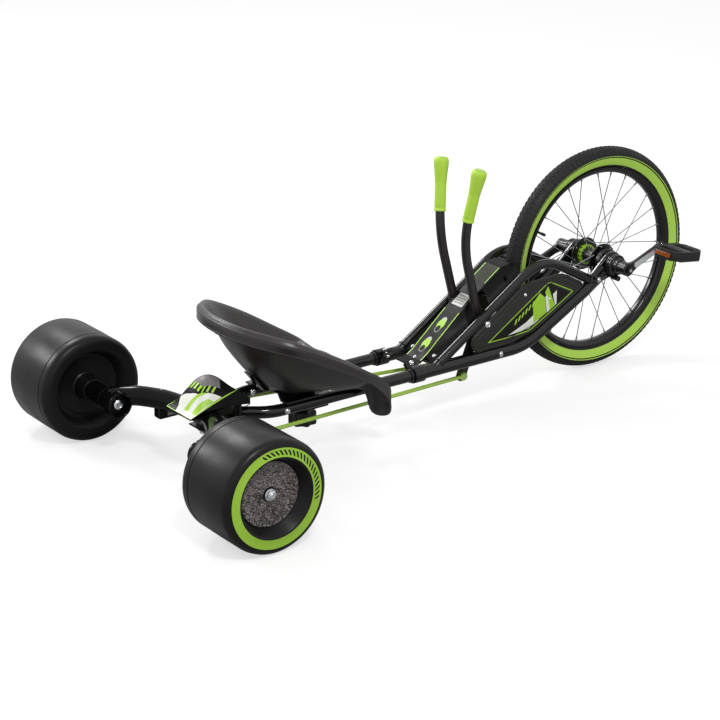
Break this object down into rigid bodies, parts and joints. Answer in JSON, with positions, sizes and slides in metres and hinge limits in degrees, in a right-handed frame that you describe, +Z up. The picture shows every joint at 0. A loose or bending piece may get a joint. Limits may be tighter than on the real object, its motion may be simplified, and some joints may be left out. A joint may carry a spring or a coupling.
{
  "type": "lever-steered drift trike",
  "caption": "Low pedal trike with a large spoked front wheel, bucket seat on rails, upright steering levers and a swinging rear axle with wide slick wheels.",
  "frame": {"origin": "on the ground under the middle of the trike's length and width", "axes": "+X forward to the front wheel, +Y to the rider's left, +Z up"},
  "size_m": [1.5076, 0.8378, 0.5383],
  "materials": {
    "frame_paint": "gloss black powder coat on steel tube",
    "cover_plastic": "satin black moulded plastic with printed lime and white graphics",
    "seat_plastic": "satin black blow-moulded plastic",
    "slick_plastic": "satin black moulded slick wheel with a lime ring",
    "disc_print": null,
    "tyre_rubber": "black rubber with block tread and a lime sidewall band",
    "rim_black": "gloss black rim",
    "spoke_steel": "plated steel wire",
    "hub_black": "satin black metal",
    "crank_alloy": "satin silver",
    "bright_steel": "bright zinc and chrome plating",
    "bush_plastic": "black nylon",
    "pedal_plastic": "black resin",
    "reflector_amber": "amber prismatic reflector",
    "grip_rubber": "lime soft rubber",
    "rod_paint": "lime paint",
    "knob_plastic": "black moulded plastic"
  },
  "bodies": {
    "frame": {"front_frame_left": "frame_paint", "front_frame_right": "frame_paint", "front_cross_tube": "frame_paint", "front_cross_plate": "frame_paint", "side_panel_left": "cover_plastic", "side_panel_right": "cover_plastic", "top_cover": "cover_plastic", "pivot_cover": "cover_plastic", "lever_bolt_left": "bright_steel", "lever_bolt_right": "bright_steel", "clamp_collar_left": "frame_paint", "clamp_collar_right": "frame_paint", "clamp_bolt_left": "bright_steel", "clamp_bolt_right": "bright_steel", "rear_rail_left": "frame_paint", "rear_rail_right": "frame_paint", "seat_stop_left": "bright_steel", "seat_stop_right": "bright_steel", "rear_yoke": "frame_paint", "kingpin": "bright_steel", "bearing_holder_left": "hub_black", "bearing_holder_right": "hub_black", "hub_bearing_left": "bright_steel", "hub_bearing_right": "bright_steel"},
    "axle": {"axle_tube": "frame_paint", "kingpin_bush_lower": "bush_plastic", "kingpin_bush_upper": "bush_plastic", "wheel_bolt_left": "bright_steel", "wheel_bolt_right": "bright_steel"},
    "rear_wheel_left": {"rear_wheel_left": "slick_plastic", "wheel_disc_left": "disc_print"},
    "rear_wheel_right": {"rear_wheel_right": "slick_plastic", "wheel_disc_right": "disc_print"},
    "front_wheel": {"front_tyre": "tyre_rubber", "front_rim": "rim_black", "spokes_left": "spoke_steel", "spokes_right": "spoke_steel", "hub_shell": "hub_black", "freewheel": "hub_black"},
    "crank": {"crank_axle": "bright_steel", "crank_arm_left": "crank_alloy", "crank_arm_right": "crank_alloy", "pedal_spindle_left": "bright_steel", "pedal_spindle_right": "bright_steel"},
    "pedal_left": {"pedal_left": "pedal_plastic", "reflector_rear_left": "reflector_amber", "reflector_front_left": "reflector_amber"},
    "pedal_right": {"pedal_right": "pedal_plastic", "reflector_rear_right": "reflector_amber", "reflector_front_right": "reflector_amber"},
    "lever_left": {"lever_left": "frame_paint", "grip_left": "grip_rubber"},
    "lever_right": {"lever_right": "frame_paint", "grip_right": "grip_rubber"},
    "rod_left": {"tie_rod_left": "rod_paint"},
    "rod_right": {"tie_rod_right": "rod_paint"},
    "seat": {"seat": "seat_plastic", "seat_bracket": "frame_paint", "seat_clamp_plate": "frame_paint"},
    "knob": {"seat_knob": "knob_plastic"}
  },
  "joints": [
    {"name": "steer", "type": "hinge", "parent": "frame", "child": "axle", "pos_m": [-0.5346, 0, 0.1165], "axis": [0, 0, 1], "range_deg": [-16, 16]},
    {"name": "rear_left_spin", "type": "hinge", "parent": "axle", "child": "rear_wheel_left", "pos_m": [-0.6396, 0.3397, 0.11415], "axis": [0, 1, 0], "continuous": true},
    {"name": "rear_right_spin", "type": "hinge", "parent": "axle", "child": "rear_wheel_right", "pos_m": [-0.6396, -0.3397, 0.11415], "axis": [0, 1, 0], "continuous": true},
    {"name": "front_spin", "type": "hinge", "parent": "frame", "child": "front_wheel", "pos_m": [0.4998, 0, 0.254], "axis": [0, 1, 0], "continuous": true},
    {"name": "crank_spin", "type": "hinge", "parent": "frame", "child": "crank", "pos_m": [0.4998, 0, 0.254], "axis": [0, 1, 0], "continuous": true},
    {"name": "pedal_left_spin", "type": "hinge", "parent": "crank", "child": "pedal_left", "pos_m": [0.40553, 0.168, 0.21776], "axis": [0, 1, 0], "continuous": true},
    {"name": "pedal_right_spin", "type": "hinge", "parent": "crank", "child": "pedal_right", "pos_m": [0.59407, -0.168, 0.29024], "axis": [0, 1, 0], "continuous": true},
    {"name": "lever_left_tilt", "type": "hinge", "parent": "frame", "child": "lever_left", "pos_m": [0.1374, 0.0405, 0.19], "axis": [0, 1, 0], "range_deg": [-14.8, 14.8]},
    {"name": "lever_right_tilt", "type": "hinge", "parent": "frame", "child": "lever_right", "pos_m": [0.1374, -0.0405, 0.19], "axis": [0, 1, 0], "range_deg": [-14.8, 14.8]},
    {"name": "rod_left_swing", "type": "hinge", "parent": "lever_left", "child": "rod_left", "pos_m": [0.0924, 0.04755, 0.075], "axis": [0, 1, 0], "range_deg": [-15.8, 15.8]},
    {"name": "rod_right_swing", "type": "hinge", "parent": "lever_right", "child": "rod_right", "pos_m": [0.0924, -0.04755, 0.075], "axis": [0, 1, 0], "range_deg": [-15.8, 15.8]},
    {"name": "seat_slide", "type": "slide", "parent": "frame", "child": "seat", "axis": [1, 0, 0], "range_m": [-0.025, 0.065]},
    {"name": "knob_turn", "type": "hinge", "parent": "seat", "child": "knob", "pos_m": [-0.2946, 0, 0.06], "axis": [0, 0, 1], "range_deg": [-720, 0]}
  ],
  "couplings": [
    {"joint": "lever_left_tilt", "follows": "steer", "ratio": 0.917},
    {"joint": "lever_right_tilt", "follows": "steer", "ratio": -0.917},
    {"joint": "rod_left_swing", "follows": "steer", "ratio": -0.982},
    {"joint": "rod_right_swing", "follows": "steer", "ratio": 0.982}
  ]
}
